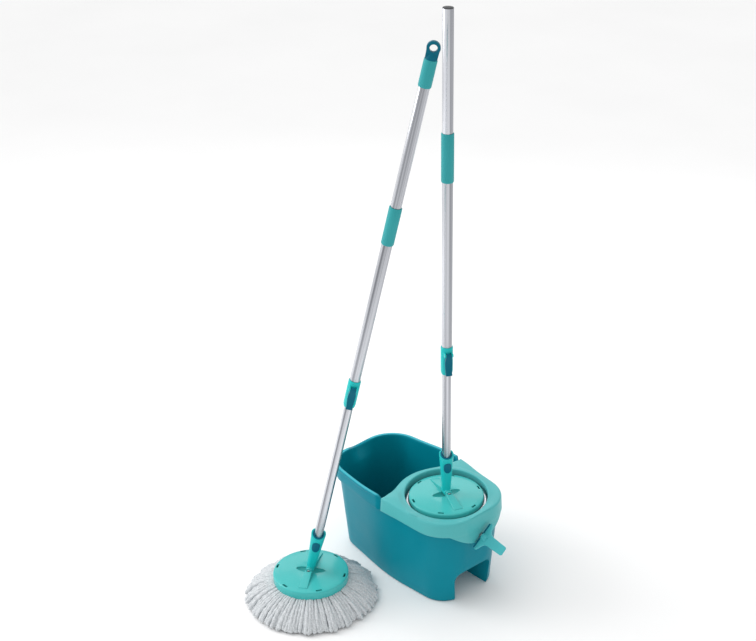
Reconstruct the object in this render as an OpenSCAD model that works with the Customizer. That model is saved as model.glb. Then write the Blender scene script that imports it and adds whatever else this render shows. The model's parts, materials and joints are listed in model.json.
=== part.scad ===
// Spin mop set: a bucket with a spin basket, one mop standing in the basket and one beside it.
// Millimetres, +Z up. The origin is the middle of the bucket's base, on the floor.
// +X runs along the bucket towards the basket and the lever, -Y is the side the second mop stands on.

/* [Bucket] */
// Height of the bucket's rim
tub_h = 226; // [222:1:232]
// Thickness of the moulded walls
wall = 3; // [2.5:0.1:3.5]
// Distance of the basket's axis from the middle of the base
basket_x = 93; // [90:1:96]
// Height of the skirt of the insert and of the band under the rim
band_h = 31; // [24:1:36]
// Height of the toe recess under the basket
toe_h = 74; // [60:1:76]
// Half width of the toe recess at its widest
toe_half = 54; // [40:1:56]

/* [Basket] */
// Outer radius of the basket's rim
basket_r = 91; // [90:0.5:92]
// Height of the basket's rim above the floor
basket_top = 214; // [212:1:216]
// Height of the basket's floor above the ground
basket_floor = 101; // [98:1:106]
// Radius of the recess that the basket turns in
ring_r = 94; // [93.5:0.5:96]
// Radius of the steel spindle
spindle_r = 5; // [4:0.5:6]

/* [Mop head] */
// Radius of the head's disc
disc_r = 85; // [80:0.5:85.5]
// Depth of the disc's skirt
disc_skirt = 20; // [16:1:22]
// Height of the hinge pin above the disc's rim
pivot_h = 9; // [9:0.5:12]
// Radius of the hinge pin
pin_r = 2.5; // [2:0.1:3]
// Radius of the splayed fringe on the floor
fringe_r = 152; // [145:1:160]

/* [Handle] */
// Radius of the thin lower tube
lower_r = 9.75; // [9.5:0.05:10]
// Radius of the thick upper tubes
upper_r = 11.5; // [11.4:0.05:11.7]
// Wall thickness of the tubes
tube_wall = 0.7; // [0.5:0.1:1]
// Radius of the collar and of the grips
collar_r = 13.4; // [13.2:0.1:14]
// Length of the socket above the hinge pin
socket_l = 89; // [84:1:98]
// Length of the lower tube
lower_l = 590; // [560:1:600]

/* [Pose] */
// Lean of the second mop's handle from the vertical, in degrees
lean = 13; // [10:0.5:15]
// Turn of the locking lever about its spindle, in degrees
lever_roll = 45; // [40:1:50]

/* [Hidden] */

$fn = 96;
eps = 0.2;
gap = 0.3;
run = 0.05;

// colours
teal = [0.0, 0.48, 0.57];
mint = [0.42, 0.78, 0.78];
green = [0.15, 0.68, 0.68];
dark = [0.05, 0.43, 0.52];
grip_c = [0.24, 0.6, 0.6];
alu = [0.78, 0.79, 0.81];
steel = [0.7, 0.71, 0.73];
yarn = [0.85, 0.86, 0.86];

// corner discs of the tub's plan on the +Y side, as [x, y, radius], at the base and at the rim
base_plan = [[118, 32, 60], [21, 54, 44], [-143, 26, 52]];
rim_plan = [[122, 30, 78], [-12, 47, 73], [-134, 37, 70]];
end_x = 200;
// height of the tub's edge under the insert
under_z = tub_h - wall - 3;
wing_x = basket_x - 82;
skirt_z = tub_h - band_h;
// how far the band and the skirt stand out from the tub's wall, at their lower edge and at the rim
skirt_out = 9;
rim_out = 5;

// spout
spout_r = 30;
spout_dip = 15;
dip_r = 60;

// toe recess
toe_x = 55;
toe_foot = toe_half - 5;
toe_round = 20;
boss_r = 12;
boss_top = toe_h + wall + 10;

// ring of the insert around the basket
ring_out = 109;
lip_out = 116;
ring_depth = 21;
lip_h = 7;
lip_from = 88;
lip_turn = 132;

// lever on the end wall
lever_z = 170;
lever_x = 208;
lever_tilt = 8;
lever_t = 5;
lever_gap = 2;
lever_l = 70;
spindle_lever_r = 5;
// the spindle's length, and the cam on its inner end
lock_l = 35.5;
cam = [3, 20, 13];
apron_z = lever_z - 15;
notch_w = 13;

// basket: its wall, and the inner radius at the rim and at two steps down
basket_wall = 1.2;
basket_in = 86.6;
step_r = 80;
step_z = basket_floor + 9;
floor_r = 72;
rim_drop = 14;
hole_w = 8;
hole_h = 26;
hub_r = 14;
hub_foot = 6;
bearing_h = 4;
hub_top = basket_floor + 22;
slot_count = 20;

// heads: places of the discs, turn of the hinge pin, lean, turn of the button and the lever
head_x = [basket_x, basket_x - 151];
head_y = [0, -277];
head_z = [tub_h - 2, 70];
pin_turn = [-20, -54];
lean_at = [0, lean];
front_turn = [-10, 11];

// handles: heights above the hinge pin
collar_at = [302, 441];
collar_l = 66;
grip_at = [747, 834];
grip_l = [106, 84];
joint_at = 70;
top_at = [1110, 1238];
top_grip_l = 61;
eye_top = 1270;
eye_r = 13.6;
eye_hole = 7.8;
eye_t = 9;
button_z = 68;
lever_pin_z = 52;
lever_pin_x = 18.4;
lever_pin_r = 1.6;
lever_w = 12;
// ears on the collar that hold the lever's pin
pin_ear_r = 4.4;
pin_ear_t = 3.2;
// where the tubes end inside the socket and the collar
tube_seat = 24;
telescope_seat = 18;
// socket: its foot's radius, how much wider it gets, and the sleeve in its mouth
socket_foot = 9.6;
socket_flare = 6.4;
sleeve_r = 13;
sleeve_drop = 16;
mouth_slant = 24;
button_w = 17;
button_l = 25;
// plug ends inside the tubes
plug_r = upper_r - tube_wall;
joint_l = 44;

// half width, length and height at the hinge of the ridges that stiffen the disc
rib_half = 9.5;
rib_l = 70;
rib_top = 12;
// hinge ears, foot of the socket between them, and the pin's ends
ear_in = 11;
ear_out = 17;
foot_r = 8.6;
pin_head_r = pin_r + 1.3;
pin_head_l = 1.6;
// slots near the disc's edge
slot_r = 79.5;
slot_l = 14;
slot_w = 4;
slot_turn = 28;
// pad that holds the fringe
pad_in = 58;

// ---- placing ----

// x along the hinge pin, z = 0 at the disc's rim
module at_head(m) translate([head_x[m], head_y[m], head_z[m]]) rotate([0, 0, pin_turn[m]]) children();

// z along the handle from the hinge pin
module at_handle(m) at_head(m) translate([0, 0, pivot_h]) rotate([-lean_at[m], 0, 0]) children();

// x towards the front of the handle, where the button and the clamp lever are
module at_front(m) at_handle(m) rotate([0, 0, front_turn[m]]) children();

module at_basket() translate([basket_x, 0, 0]) children();

module pipe(r_out, r_in, l) difference() {
    cylinder(r = r_out, h = l);
    translate([0, 0, -1]) cylinder(r = r_in, h = l + 2);
}

// a ring of thin discs at the plan's corners, both sides
module plan_slice(plan, grow, z) for (c = plan, s = [-1, 1])
    translate([c.x, s * c.y, z]) cylinder(r = c[2] + grow, h = eps, $fn = 48);

// the tub's tapered solid, its walls moved out by grow at the base and at the rim
module tub_body(grow_base, grow_rim, z_base, z_rim) hull() {
    plan_slice(base_plan, grow_base, z_base);
    plan_slice(rim_plan, grow_rim, z_rim - eps);
}

// the tub's outline at the height of the skirt's lower edge
module plan_outline(grow) hull() for (c = plan_at(skirt_z / tub_h), s = [-1, 1])
    translate([c.x, s * c.y]) circle(r = c[2] + grow, $fn = 48);

function mix(a, b, t) = a + (b - a) * t;

// the plan part of the way up
function plan_at(t) = [for (i = [0:2]) mix(base_plan[i], rim_plan[i], t)];

// ---- bucket ----

module toe_profile(grow) {
    h = toe_h + grow;
    w = toe_half + grow;
    r = toe_round + grow;
    foot = toe_foot + grow;
    polygon(concat(
        [[foot, -1], [w, h - r]],
        [for (a = [0:10:90]) [w - r + r * cos(a), h - r + r * sin(a)]],
        [for (a = [90:10:180]) [-w + r + r * cos(a), h - r + r * sin(a)]],
        [[-w, h - r], [-foot, -1]]));
}

module toe_block(grow, from_x) translate([from_x, 0, 0]) rotate([90, 0, 90])
    linear_extrude(end_x - from_x + 10) toe_profile(grow);

module bucket_tub() color(teal) difference() {
    union() {
        tub_body(0, 0, 0, tub_h);
        // outward band under the rim, left of the insert
        difference() {
            hull() {
                plan_slice(plan_at(skirt_z / tub_h), skirt_out, skirt_z);
                plan_slice(rim_plan, rim_out, tub_h - eps);
            }
            translate([wing_x - gap, -200, 0]) cube([300, 400, 300]);
        }
        // spout
        hull() {
            translate([-163, 0, skirt_z - 6]) cylinder(r = spout_r, h = eps);
            translate([-192, 0, tub_h - eps]) cylinder(r = spout_r, h = eps);
        }
    }
    difference() {
        union() {
            tub_body(-wall, -1, wall, tub_h + 1);
            hull() {
                translate([-161, 0, skirt_z]) cylinder(r = spout_r - wall, h = eps);
                translate([-189, 0, tub_h + 1]) cylinder(r = spout_r - wall, h = eps);
            }
        }
        toe_block(wall, toe_x - wall);
        at_basket() cylinder(r = boss_r, h = boss_top);
    }
    toe_block(0, toe_x);
    at_basket() translate([0, 0, toe_h + wall]) cylinder(r = spindle_r, h = 40);
    // the rim is dipped at the spout and lower under the insert
    translate([-250, 0, tub_h + dip_r - spout_dip]) rotate([0, 90, 0]) cylinder(r = dip_r, h = 110);
    translate([wing_x - gap, -200, under_z]) cube([300, 400, 20]);
    // open notch in the end wall for the lever's spindle
    translate([end_x - 18, -notch_w / 2, lever_z - 9]) cube([40, notch_w, 90]);
}

module ring_section() polygon([
    [ring_r, tub_h - ring_depth], [ring_r + wall, tub_h - ring_depth], [ring_r + wall, tub_h - 12],
    [ring_r + 8, tub_h - 7], [ring_r + 9, tub_h - wall], [ring_out, tub_h - wall], [ring_out, tub_h],
    [ring_out - 3, tub_h], [ring_r, tub_h - 7]]);

module lip_section() polygon([
    [ring_r, tub_h - 9], [lip_out - 6, tub_h - 5], [lip_out - 2, tub_h - 5], [lip_out, tub_h - 3],
    [lip_out, tub_h], [lip_out - 3, tub_h + 4], [lip_out - 8, tub_h + lip_h - 1], [ring_r + 6, tub_h + lip_h],
    [ring_r + 1, tub_h + lip_h - 1], [ring_r, tub_h + lip_h - 3]]);

module spin_insert() color(mint) difference() {
    union() {
        // deck and skirt
        difference() {
            hull() {
                plan_slice(plan_at(skirt_z / tub_h), skirt_out, skirt_z);
                plan_slice(rim_plan, rim_out, tub_h - eps);
            }
            hull() {
                plan_slice(plan_at(skirt_z / tub_h), skirt_out - wall, skirt_z - 2 * eps);
                plan_slice(rim_plan, rim_out - wall, tub_h - wall);
            }
            translate([wing_x - 300, -200, 0]) cube([300, 400, 300]);
            at_basket() translate([0, 0, skirt_z]) cylinder(r = ring_out - 1, h = 40);
        }
        at_basket() rotate_extrude() ring_section();
        at_basket() rotate([0, 0, lip_from]) rotate_extrude(angle = lip_turn) lip_section();
        // apron that hangs straight down in front of the end wall, around the lever's spindle
        intersection() {
            difference() {
                translate([0, 0, apron_z]) linear_extrude(skirt_z - apron_z + 6) plan_outline(skirt_out - 1);
                translate([0, 0, apron_z - 1]) linear_extrude(skirt_z - apron_z + 8)
                    plan_outline(skirt_out - 1 - wall);
            }
            translate([150, 0, 0]) rotate([90, 0, 90]) linear_extrude(80) polygon([
                [68, skirt_z + 4], [62, skirt_z - 4], [40, skirt_z - 12], [26, lever_z - 3], [18, apron_z + 3],
                [12, apron_z], [-12, apron_z], [-18, apron_z + 3], [-26, lever_z - 3], [-40, skirt_z - 12],
                [-62, skirt_z - 4], [-68, skirt_z + 4]]);
        }
    }
    translate([lever_x, 0, lever_z]) rotate([0, 90 + lever_tilt, 0])
        translate([0, 0, -30]) cylinder(r = spindle_lever_r + run, h = 60);
}

// ---- basket ----

module basket_bearing() color(dark) at_basket() translate([0, 0, boss_top])
    pipe(boss_r - 1, spindle_r + run, bearing_h);

module basket_spindle() color(steel) at_basket() translate([0, 0, toe_h + wall])
    cylinder(r = spindle_r, h = hub_top - toe_h - wall + 6);

module basket_section() polygon([
    [hub_r, basket_floor], [floor_r, basket_floor], [step_r, step_z],
    [basket_in + basket_wall, basket_top - rim_drop], [basket_in + basket_wall, basket_top - 2],
    [basket_r, basket_top - 2], [basket_r, basket_top], [basket_in, basket_top],
    [basket_in, basket_top - rim_drop], [step_r - basket_wall, step_z + 1],
    [floor_r - basket_wall, basket_floor + basket_wall], [hub_r, basket_floor + basket_wall]]);

module spin_basket() color(steel) at_basket() difference() {
    rotate_extrude() basket_section();
    for (a = [0:360 / slot_count:359], z = [basket_floor + 22, basket_floor + 62])
        rotate([0, 0, a]) translate([floor_r - 2, -hole_w / 2, z]) cube([30, hole_w, hole_h]);
}

module basket_hub() color(mint) at_basket() rotate_extrude() polygon([
    [spindle_r + run, boss_top + bearing_h + run], [boss_r - 1, boss_top + bearing_h + run],
    [hub_r, basket_floor], [hub_r, basket_floor + basket_wall],
    [hub_r + hub_foot, basket_floor + basket_wall], [hub_r + hub_foot, basket_floor + 4],
    [hub_r - 4, hub_top], [spindle_r + run, hub_top]]);

module spindle_cap() color(dark) at_basket() difference() {
    translate([0, 0, hub_top + gap]) cylinder(r1 = spindle_r + 3, r2 = spindle_r + 1, h = 8);
    translate([0, 0, hub_top]) cylinder(r = spindle_r, h = 6);
}

// ---- locking lever ----

// x out of the end wall along the spindle, y along the cross bar
module at_lever() translate([lever_x, 0, lever_z]) rotate([0, lever_tilt, 0])
    rotate([lever_roll, 0, 0]) children();

module lever_outline() {
    u0 = lever_gap + 2;
    half = [
        [u0, 33], [u0 + 2, 34], [u0 + 5, 33], [u0 + 8, 28], [u0 + 11, 21], [u0 + 14, 16.5], [u0 + 18, 13.5],
        [u0 + 23, 12], [lever_l - 3, 11], [lever_l, 8]];
    polygon(concat(half, [for (i = [len(half) - 1:-1:0]) [half[i].x, -half[i].y]]));
}

module lock_lever() color([0.27, 0.63, 0.66]) at_lever() difference() {
    union() {
        translate([0, 0, -lever_t / 2]) linear_extrude(lever_t) lever_outline();
        translate([lever_gap + 2, 0, 0]) rotate([0, 90, 0]) cylinder(r = 8, h = 14);
    }
    rotate([0, 90, 0]) cylinder(r = spindle_lever_r, h = 14);
}

module lock_spindle() color(steel) at_lever() translate([-21.5, 0, 0]) rotate([0, 90, 0])
    cylinder(r = spindle_lever_r, h = lock_l);

module lock_cam() color(dark) at_lever() difference() {
    translate([-21, -cam.y / 2, -cam.z / 2]) cube(cam);
    translate([-22, 0, 0]) rotate([0, 90, 0]) cylinder(r = spindle_lever_r, h = 10);
}

// ---- mop head ----

module disc_section() polygon([
    [0, 2], [20, 2], [30, 3], [60, 1.5], [disc_r - 4, 0], [disc_r - 1, -1], [disc_r, -4], [disc_r, -disc_skirt],
    [disc_r - wall, -disc_skirt], [disc_r - wall, -5], [60, -2], [0, -2]]);

// sloping ridge that stiffens the disc, and the ear of the hinge at its inner end
module disc_rib() difference() {
    union() {
        translate([ear_in, 0, pivot_h]) rotate([0, 90, 0]) cylinder(r = pin_r + 4.5, h = ear_out - ear_in);
        translate([ear_in, -7, 0]) cube([ear_out - ear_in, 14, pivot_h]);
        rotate([90, 0, 0]) linear_extrude(2 * rib_half, center = true) polygon([
            [ear_out - 1, 0], [ear_out - 1, pivot_h], [ear_out + 2, rib_top], [rib_l, 2.4], [rib_l + 2, 0]]);
    }
    translate([0, -30, -50]) cube([100, 60, 50]);
}

module disc(m) color(green) at_head(m) difference() {
    union() {
        rotate_extrude() disc_section();
        for (s = [0, 180]) rotate([0, 0, s]) disc_rib();
    }
    for (a = [slot_turn:60:359])
        rotate([0, 0, a]) translate([slot_r, 0, 0]) cube([slot_w, slot_l, disc_skirt], center = true);
    // bore for the pin, pockets for its ends, and room for the socket's foot as it swings
    translate([-30, 0, pivot_h]) rotate([0, 90, 0]) cylinder(r = pin_r, h = 60);
    for (s = [-1, 1]) translate([s * (ear_out + 2), 0, pivot_h]) rotate([0, 90, 0])
        cylinder(r = pin_head_r + gap, h = 4, center = true);
    translate([-ear_in, 0, pivot_h]) rotate([0, 90, 0]) cylinder(r = foot_r + 0.5, h = 2 * ear_in);
    translate([-ear_in, -16, gap]) cube([2 * ear_in, 32, 10]);
}

module pad_ring(m) color([0.85, 0.87, 0.87]) at_head(m) rotate_extrude() polygon([
    [pad_in, -disc_skirt + 2], [disc_r - wall - gap, -disc_skirt + 2],
    [disc_r - wall - gap, -disc_skirt + 8], [disc_r - wall - 3, -7], [pad_in + 4, -6], [pad_in, -10]]);

// fringe folded down inside the basket, and fringe spread on the floor
module fringe(m) color(yarn) at_head(m) rotate_extrude() polygon(m == 0
    ? [[0, -disc_skirt - 1], [disc_r - 4, -disc_skirt + 1], [disc_r - 1.5, -disc_skirt - 8], [82, -40],
       [76, -84], [60, -91], [0, -91]]
    : [[0, -disc_skirt - 0.2], [disc_r + 1, -disc_skirt - 0.2], [disc_r + 8, -disc_skirt - 2], [108, -29],
       [130, -41], [145, -54], [fringe_r, -64], [fringe_r - 3, -head_z[1]], [0, -head_z[1]]]);

module hinge_pin(m) color([0.85, 0.86, 0.88]) at_head(m) translate([0, 0, pivot_h]) rotate([0, 90, 0])
    union() {
        translate([0, 0, -ear_out]) cylinder(r = pin_r, h = 2 * ear_out);
        for (z = [-ear_out - pin_head_l, ear_out])
            translate([0, 0, z]) cylinder(r = pin_head_r, h = pin_head_l);
    }

// ---- handle ----

function socket_at(z) = socket_foot + socket_flare * z / socket_l;

module oblong(w, l) union() {
    square([w, l - w], center = true);
    for (s = [-1, 1]) translate([0, s * (l - w) / 2]) circle(d = w);
}

// the slanted cut across the socket's mouth, low at the front
module mouth_cut(m) at_front(m) translate([0, 0, socket_l]) rotate([0, mouth_slant, 0])
    translate([-40, -40, 6]) cube([80, 80, 60]);

// the opening in the socket and the sleeve that the button sits in
module button_hole(m) at_front(m) translate([11, 0, button_z]) rotate([90, 0, 90])
    linear_extrude(10) oblong(button_w + 2 * gap, button_l + 2 * gap);

module socket(m) color([0.1, 0.68, 0.68]) difference() {
    at_handle(m) difference() {
        union() {
            rotate([0, 90, 0]) translate([0, 0, -ear_in + gap]) cylinder(r = foot_r, h = 2 * (ear_in - gap));
            translate([0, 0, 5])
                cylinder(r1 = socket_foot, r2 = socket_at(socket_l + 10), h = socket_l + 5);
        }
        rotate([0, 90, 0]) translate([0, 0, -30]) cylinder(r = pin_r + run, h = 60);
        translate([0, 0, tube_seat]) cylinder(r = lower_r, h = socket_l);
        translate([0, 0, socket_l - sleeve_drop]) cylinder(r = sleeve_r, h = 40);
    }
    mouth_cut(m);
    button_hole(m);
}

module sleeve(m) color(dark) difference() {
    at_handle(m) translate([0, 0, socket_l - sleeve_drop]) pipe(sleeve_r, lower_r, 28);
    button_hole(m);
    translate([0, 0, 1.2]) mouth_cut(m);
}

module button(m) color(dark) at_front(m) intersection() {
    translate([sleeve_r + 0.1, 0, button_z]) rotate([90, 0, 90]) linear_extrude(6)
        oblong(button_w, button_l);
    translate([0, 0, button_z - 20]) cylinder(r = socket_foot + socket_flare, h = 40);
}

module lower_tube(m) color(alu) at_handle(m) translate([0, 0, tube_seat])
    pipe(lower_r, lower_r - tube_wall, lower_l);

module drive_nut(m) color(steel) at_handle(m) translate([0, 0, collar_at[m] + 4])
    pipe(upper_r - run, lower_r + run, 13.5);

module collar_body() difference() {
    union() {
        cylinder(r1 = collar_r - 1.6, r2 = collar_r, h = 7);
        translate([0, 0, 7]) cylinder(r = collar_r, h = collar_l - 9);
        translate([0, 0, collar_l - 2]) cylinder(r1 = collar_r, r2 = collar_r - 1, h = 2);
    }
    translate([0, 0, -1]) cylinder(r = lower_r + gap, h = 10);
    translate([0, 0, 3.9]) cylinder(r = upper_r, h = collar_l);
}

module collar(m) color(green) at_front(m) translate([0, 0, collar_at[m]]) {
    difference() {
        union() {
            collar_body();
            difference() {
                for (s = [-1, 1]) translate([0, s * ((lever_w + pin_ear_t) / 2 + gap), lever_pin_z]) {
                    translate([lever_pin_x, 0, 0]) rotate([90, 0, 0])
                        cylinder(r = pin_ear_r, h = pin_ear_t, center = true);
                    translate([lever_pin_x / 2, 0, 0])
                        cube([lever_pin_x, pin_ear_t, 2 * pin_ear_r], center = true);
                }
                translate([0, 0, -1]) cylinder(r = collar_r - 0.5, h = collar_l);
            }
        }
        translate([lever_pin_x, 0, lever_pin_z]) rotate([90, 0, 0])
            cylinder(r = lever_pin_r, h = 40, center = true);
    }
}

// cam lever that clamps the telescope, hanging down the collar's front
module clamp_lever(m) color(dark) at_front(m) translate([0, 0, collar_at[m]]) rotate([90, 0, 0])
    difference() {
        union() {
            translate([lever_pin_x, lever_pin_z, 0]) cylinder(r = 4.2, h = lever_w, center = true);
            translate([0, 0, -lever_w / 2]) linear_extrude(lever_w) polygon([
                [14.2, lever_pin_z], [14, 34], [14, 18], [15.5, 10], [20, 5], [23.5, 4], [23, 8], [20, 15],
                [19, 25], [20, 38], [lever_pin_x + 4.2, lever_pin_z]]);
        }
        translate([lever_pin_x, lever_pin_z, 0]) cylinder(r = lever_pin_r + run, h = 40, center = true);
    }

module lever_pin(m) color(steel) at_front(m) translate([lever_pin_x, 0, collar_at[m] + lever_pin_z])
    rotate([90, 0, 0]) cylinder(r = lever_pin_r, h = lever_w + 2 * (pin_ear_t + gap), center = true);

split = [grip_at[0] + joint_at, grip_at[1] + joint_at];

module mid_tube(m) color(alu) at_handle(m) translate([0, 0, collar_at[m] + telescope_seat])
    pipe(upper_r, plug_r, split[m] - collar_at[m] - telescope_seat);

module tube_joint(m) color(steel) at_handle(m) translate([0, 0, split[m] - joint_l / 2])
    pipe(plug_r, plug_r - 1.5, joint_l);

module upper_tube(m) color(alu) at_handle(m) translate([0, 0, split[m]])
    pipe(upper_r, plug_r, top_at[m] - split[m] - (m == 1 ? 4 : 0));

// grip sleeve with rounded ends
module grip(l) rotate_extrude() polygon([
    [upper_r, 0], [collar_r - 0.9, 0], [collar_r, 2], [collar_r, l - 2], [collar_r - 0.9, l], [upper_r, l]]);

module mid_grip(m) color(grip_c) at_handle(m) translate([0, 0, grip_at[m]]) grip(grip_l[m]);

module end_plug() color([0.35, 0.36, 0.38]) at_handle(0) translate([0, 0, top_at[0]]) union() {
    translate([0, 0, -14]) cylinder(r = plug_r, h = 14);
    cylinder(r1 = upper_r, r2 = upper_r - 0.6, h = 1.2);
}

module top_grip() color(grip_c) at_handle(1) translate([0, 0, top_at[1] - top_grip_l]) grip(top_grip_l - 4);

// flat eye on a plug in the tube's end
module hanging_eye() color(dark) at_front(1) {
    c = eye_top - eye_r;
    translate([0, 0, top_at[1] - 24]) cylinder(r = plug_r, h = 20);
    translate([0, 0, top_at[1] - 4]) cylinder(r1 = collar_r - 0.6, r2 = eye_t / 2, h = 14);
    rotate([90, 0, 90]) translate([0, 0, -eye_t / 2]) linear_extrude(eye_t) difference() {
        union() {
            translate([0, c]) circle(r = eye_r);
            polygon([[-12, top_at[1] - 3], [12, top_at[1] - 3], [12.6, c - 4], [-12.6, c - 4]]);
        }
        translate([0, c]) circle(r = eye_hole);
    }
}

bucket_tub();
spin_insert();
basket_bearing();
basket_spindle();
spin_basket();
basket_hub();
spindle_cap();
lock_lever();
lock_spindle();
lock_cam();
disc(0);  // mop_a_disc
pad_ring(0);  // mop_a_pad_ring
fringe(0);  // mop_a_fringe
hinge_pin(0);  // mop_a_pin
socket(0);  // mop_a_socket
sleeve(0);  // mop_a_sleeve
button(0);  // mop_a_button
lower_tube(0);  // mop_a_lower_tube
drive_nut(0);  // mop_a_drive_nut
collar(0);  // mop_a_collar
clamp_lever(0);  // mop_a_clamp_lever
lever_pin(0);  // mop_a_lever_pin
mid_tube(0);  // mop_a_mid_tube
tube_joint(0);  // mop_a_tube_joint
upper_tube(0);  // mop_a_upper_tube
mid_grip(0);  // mop_a_mid_grip
end_plug();  // mop_a_end_plug
disc(1);  // mop_b_disc
pad_ring(1);  // mop_b_pad_ring
fringe(1);  // mop_b_fringe
hinge_pin(1);  // mop_b_pin
socket(1);  // mop_b_socket
sleeve(1);  // mop_b_sleeve
button(1);  // mop_b_button
lower_tube(1);  // mop_b_lower_tube
drive_nut(1);  // mop_b_drive_nut
collar(1);  // mop_b_collar
clamp_lever(1);  // mop_b_clamp_lever
lever_pin(1);  // mop_b_lever_pin
mid_tube(1);  // mop_b_mid_tube
tube_joint(1);  // mop_b_tube_joint
upper_tube(1);  // mop_b_upper_tube
mid_grip(1);  // mop_b_mid_grip
top_grip();  // mop_b_top_grip
hanging_eye();  // mop_b_hanging_eye
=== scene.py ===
import json
import math
import random

import bmesh
import bpy
import numpy as np
from mathutils import Matrix, Vector


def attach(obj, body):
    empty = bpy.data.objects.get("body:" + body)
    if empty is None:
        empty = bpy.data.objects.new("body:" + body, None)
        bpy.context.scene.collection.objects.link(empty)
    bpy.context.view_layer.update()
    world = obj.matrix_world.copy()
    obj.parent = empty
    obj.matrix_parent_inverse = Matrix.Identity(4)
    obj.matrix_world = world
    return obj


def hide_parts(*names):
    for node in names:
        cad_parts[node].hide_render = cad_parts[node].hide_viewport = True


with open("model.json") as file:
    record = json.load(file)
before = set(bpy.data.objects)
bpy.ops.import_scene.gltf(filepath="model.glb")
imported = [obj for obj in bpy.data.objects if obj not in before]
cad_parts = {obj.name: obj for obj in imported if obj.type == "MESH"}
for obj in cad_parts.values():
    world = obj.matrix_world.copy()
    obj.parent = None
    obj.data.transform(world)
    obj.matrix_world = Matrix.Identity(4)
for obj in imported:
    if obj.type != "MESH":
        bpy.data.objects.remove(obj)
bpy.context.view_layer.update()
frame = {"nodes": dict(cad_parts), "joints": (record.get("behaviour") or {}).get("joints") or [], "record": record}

mm = 0.001
joints = {j["name"]: j for j in frame["joints"]}
bodyOf = {n: b for b, members in frame["record"]["behaviour"]["bodies"].items() for n in members}
slotOf = {s["node"]: s["material_slot"] for s in frame["record"]["subparts"]}
basketAxis = Vector(joints["basket_spin"]["pos_m"])
basketAxis.z = 0
print("frame loaded:", len(frame["nodes"]), "nodes")


# small helpers

def makeActive(obj):
    bpy.ops.object.select_all(action="DESELECT")
    obj.select_set(True)
    bpy.context.view_layer.objects.active = obj
    return obj


def startEdit(obj, select="SELECT"):
    makeActive(obj)
    bpy.ops.object.mode_set(mode="EDIT")
    bpy.ops.mesh.select_all(action=select)


def endEdit():
    bpy.ops.object.mode_set(mode="OBJECT")


def applyModifier(obj, kind, **settings):
    makeActive(obj)
    mod = obj.modifiers.new(kind.title(), kind)
    for key, value in settings.items():
        setattr(mod, key, value)
    bpy.ops.object.modifier_apply(modifier=mod.name)


def roundEdges(obj, width, segments=2, angle=32):
    applyModifier(obj, "BEVEL", width=width, segments=segments, limit_method="ANGLE",
                  angle_limit=math.radians(angle), use_clamp_overlap=True, harden_normals=False)


def smooth(obj, angle=34):
    makeActive(obj)
    bpy.ops.object.shade_smooth_by_angle(angle=math.radians(angle))


def cutWith(obj, tool, how="DIFFERENCE"):
    applyModifier(obj, "BOOLEAN", object=tool, operation=how, solver="EXACT")
    bpy.data.objects.remove(tool, do_unlink=True)


def joinPieces(main, others):
    makeActive(main)
    for o in others:
        o.select_set(True)
    bpy.ops.object.join()
    return main


def placed(obj, matrix):
    obj.data.transform(matrix)
    obj.data.update()
    return obj


def tidyMesh(obj, merge=0.00002):
    startEdit(obj)
    bpy.ops.mesh.remove_doubles(threshold=merge)
    bpy.ops.mesh.normals_make_consistent(inside=False)
    endEdit()


def lathe(name, profile, steps=96):
    # a profile in x and z, drawn by extruding one vertex, then spun about Z
    bpy.ops.mesh.primitive_plane_add(size=mm)
    obj = bpy.context.active_object
    obj.name = name
    startEdit(obj)
    bpy.ops.mesh.merge(type="CENTER")
    bpy.ops.transform.translate(value=(profile[0][0], 0, profile[0][1]))
    for a, b in zip(profile, profile[1:]):
        bpy.ops.mesh.extrude_region_move(TRANSFORM_OT_translate={"value": (b[0] - a[0], 0, b[1] - a[1])})
    bpy.ops.mesh.select_all(action="SELECT")
    bpy.ops.mesh.spin(steps=steps, angle=math.tau, center=(0, 0, 0), axis=(0, 0, 1))
    endEdit()
    tidyMesh(obj, 0.000005)
    return obj


def ringLoft(name, rings, closeStart=False, closeEnd=False):
    # a circle extruded ring by ring, each ring laid on its own outline
    bpy.ops.mesh.primitive_circle_add(vertices=len(rings[0]), radius=0.1, fill_type="NOTHING")
    obj = bpy.context.active_object
    obj.name = name
    startEdit(obj)
    bm = bmesh.from_edit_mesh(obj.data)
    place = bm.verts.layers.int.new("place")
    bm.verts.ensure_lookup_table()
    for i, v in enumerate(bm.verts):
        v[place] = i
        v.co = rings[0][i]
    if closeStart:
        bpy.ops.mesh.edge_face_add()
    for ring in rings[1:]:
        if closeStart and ring is rings[1]:
            bpy.ops.mesh.select_mode(type="EDGE")
        bpy.ops.mesh.extrude_edges_move()
        bm = bmesh.from_edit_mesh(obj.data)
        place = bm.verts.layers.int["place"]
        for v in bm.verts:
            if v.select:
                v.co = ring[v[place]]
        bmesh.update_edit_mesh(obj.data)
    if closeEnd:
        bpy.ops.mesh.edge_face_add()
    bpy.ops.mesh.select_mode(type="VERT")
    endEdit()
    tidyMesh(obj, 0.000001)
    return obj


# finishes

def linear(r, g, b):
    shares = [c / 255 for c in (r, g, b)]
    return tuple(c / 12.92 if c <= 0.04045 else ((c + 0.055) / 1.055) ** 2.4 for c in shares) + (1,)


def shifted(rgb, change):
    return linear(*[min(255, max(0, c + change)) for c in rgb])


noiseMiddle = (0.3, 0.7)    # most of a noise's values lie between these


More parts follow.
